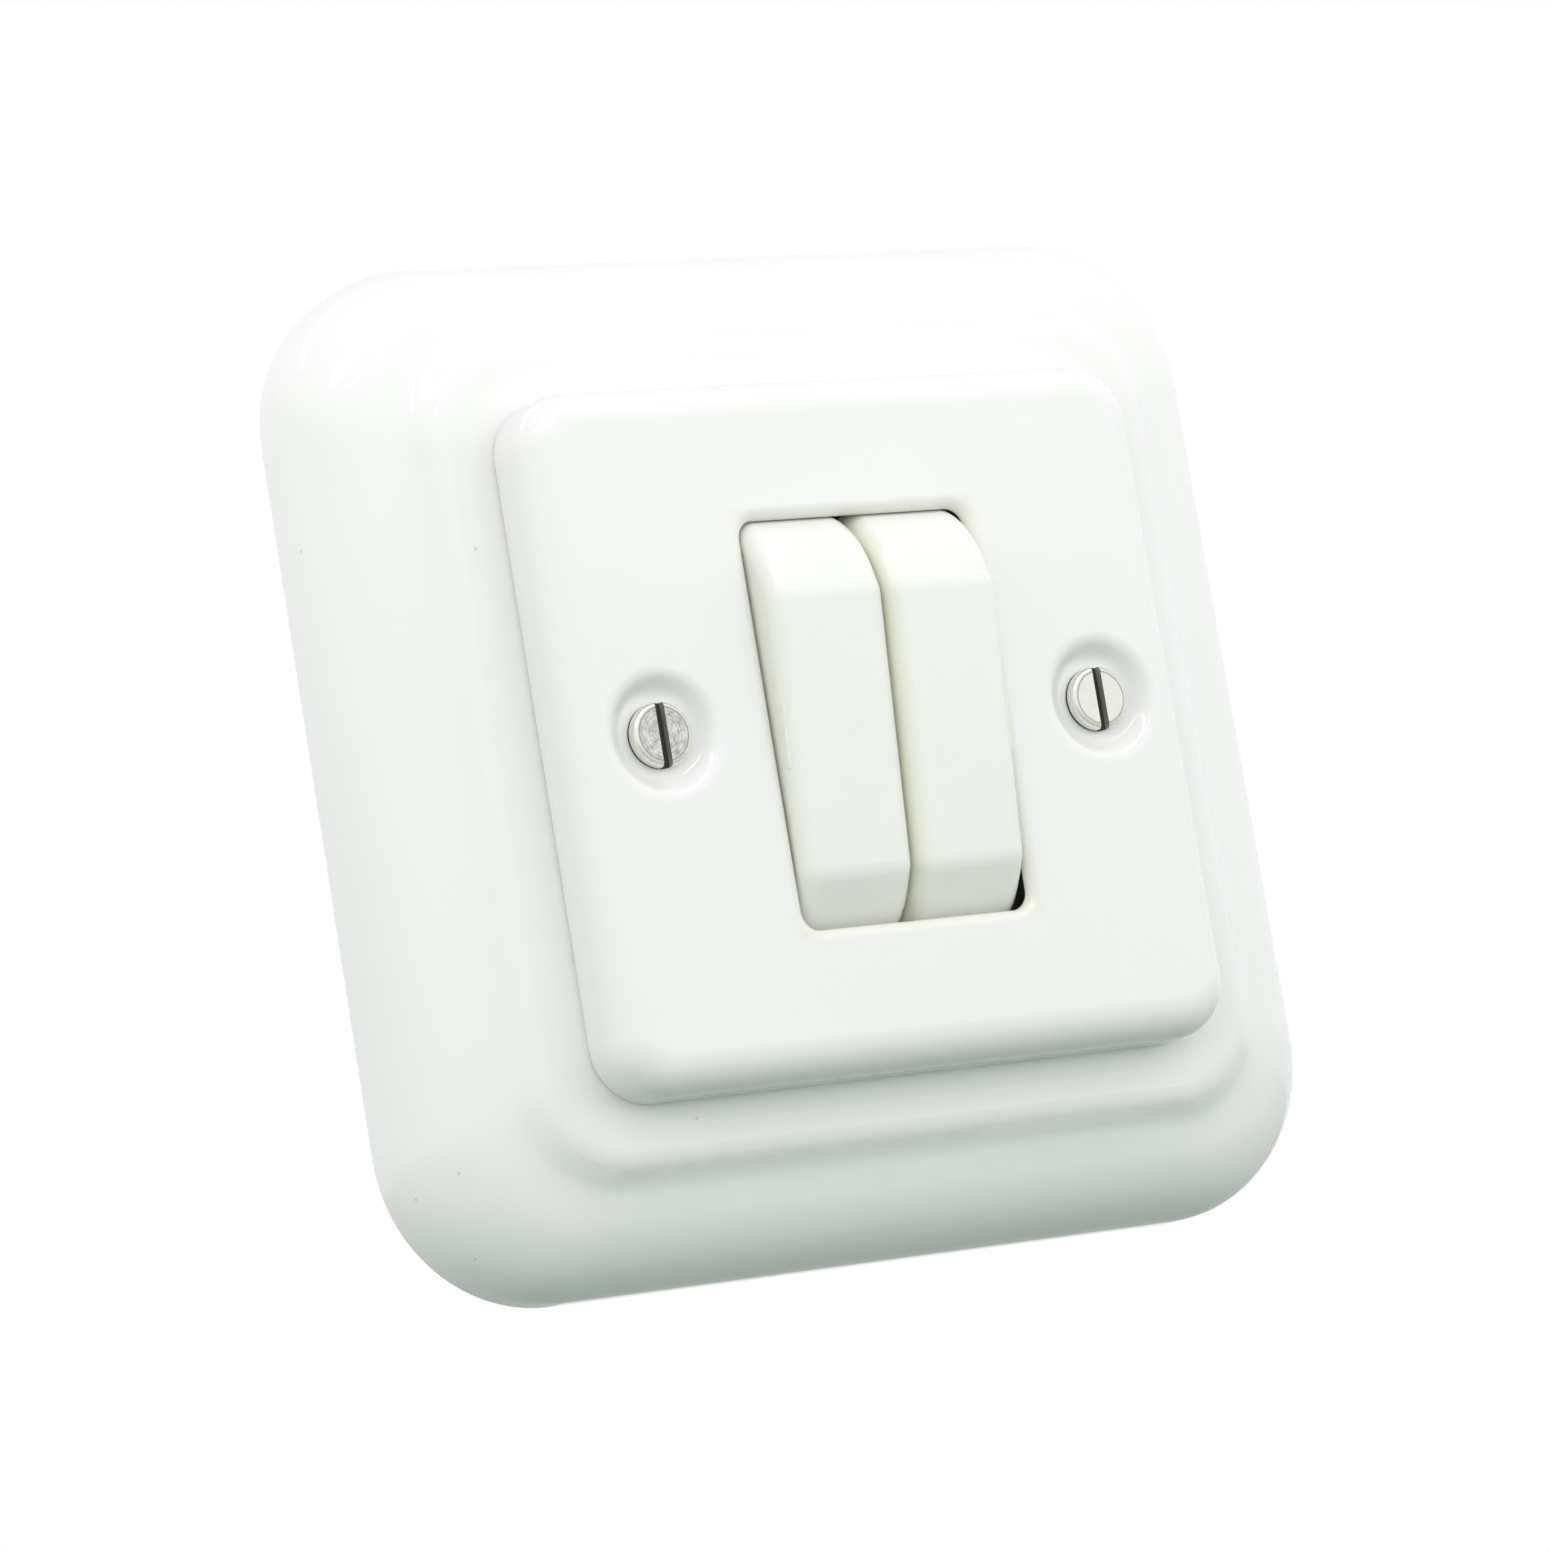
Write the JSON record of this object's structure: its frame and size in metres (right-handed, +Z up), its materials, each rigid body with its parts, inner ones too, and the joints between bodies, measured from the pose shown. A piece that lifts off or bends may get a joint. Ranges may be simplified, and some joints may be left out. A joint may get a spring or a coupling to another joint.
{
  "type": "light switch",
  "caption": "Surface-mounted square porcelain light switch with rolled edges, a raised cover plate, slotted screws and side-by-side rockers that work see-saw contacts.",
  "frame": {"origin": "centre of the back, on the wall plane", "axes": "+Y into the wall, front towards -Y, +Z up and +X to the right as the user sees it"},
  "size_m": [0.0968, 0.0261, 0.0968],
  "materials": {
    "porcelain": "clear gloss glaze",
    "rocker": "gloss",
    "screw": "turned, nickel plated",
    "base": "matt, unglazed",
    "body": "matt moulding",
    "steel": "zinc plated",
    "brass": "bright",
    "silver": "silver contact"
  },
  "bodies": {
    "base": {"porcelain_housing": "porcelain", "cover_plate": "porcelain", "cover_screws": "screw", "mounting_base": "base", "switch_body": "body", "mounting_yoke": "steel", "frame_screws": "steel", "frame_nuts": "steel", "fixed_tip_left": "silver", "fixed_tip_right": "silver", "common_bar": "brass", "switched_strip_left": "brass", "switched_strip_right": "brass", "feed_terminal": "brass", "switched_terminal_left": "brass", "switched_terminal_right": "brass", "terminal_screws": "steel", "terminal_barrier": "body"},
    "rocker_left": {"rocker_left": "rocker", "plunger_spring_left": "steel"},
    "plunger_left": {"plunger_left": "body"},
    "lever_left": {"contact_lever_left": "brass", "moving_tip_left": "silver"},
    "rocker_right": {"rocker_right": "rocker", "plunger_spring_right": "steel"},
    "plunger_right": {"plunger_right": "body"},
    "lever_right": {"contact_lever_right": "brass", "moving_tip_right": "silver"}
  },
  "joints": [
    {"name": "rocker_left_turn", "type": "hinge", "parent": "base", "child": "rocker_left", "pos_m": [-0.00665, -0.011, 0], "axis": [-1, 0, 0], "range_deg": [0, 12.6]},
    {"name": "lever_left_turn", "type": "hinge", "parent": "base", "child": "lever_left", "pos_m": [-0.00665, -0.0056, 0], "axis": [1, 0, 0], "range_deg": [0, 11.8]},
    {"name": "plunger_left_slide", "type": "slide", "parent": "rocker_left", "child": "plunger_left", "axis": [0, -0.994, -0.1097], "range_m": [0, 0.0006], "stiffness_N_per_m": 400, "springref_m": -0.002, "deforming": ["plunger_spring_left"]},
    {"name": "rocker_right_turn", "type": "hinge", "parent": "base", "child": "rocker_right", "pos_m": [0.00665, -0.011, 0], "axis": [-1, 0, 0], "range_deg": [0, 12.6]},
    {"name": "lever_right_turn", "type": "hinge", "parent": "base", "child": "lever_right", "pos_m": [0.00665, -0.0056, 0], "axis": [1, 0, 0], "range_deg": [0, 11.8]},
    {"name": "plunger_right_slide", "type": "slide", "parent": "rocker_right", "child": "plunger_right", "axis": [0, -0.994, -0.1097], "range_m": [0, 0.0006], "stiffness_N_per_m": 400, "springref_m": -0.002, "deforming": ["plunger_spring_right"]}
  ],
  "couplings": [
    {"joint": "lever_left_turn", "follows": "rocker_left_turn", "ratio": 0.93492},
    {"joint": "lever_right_turn", "follows": "rocker_right_turn", "ratio": 0.93492}
  ]
}
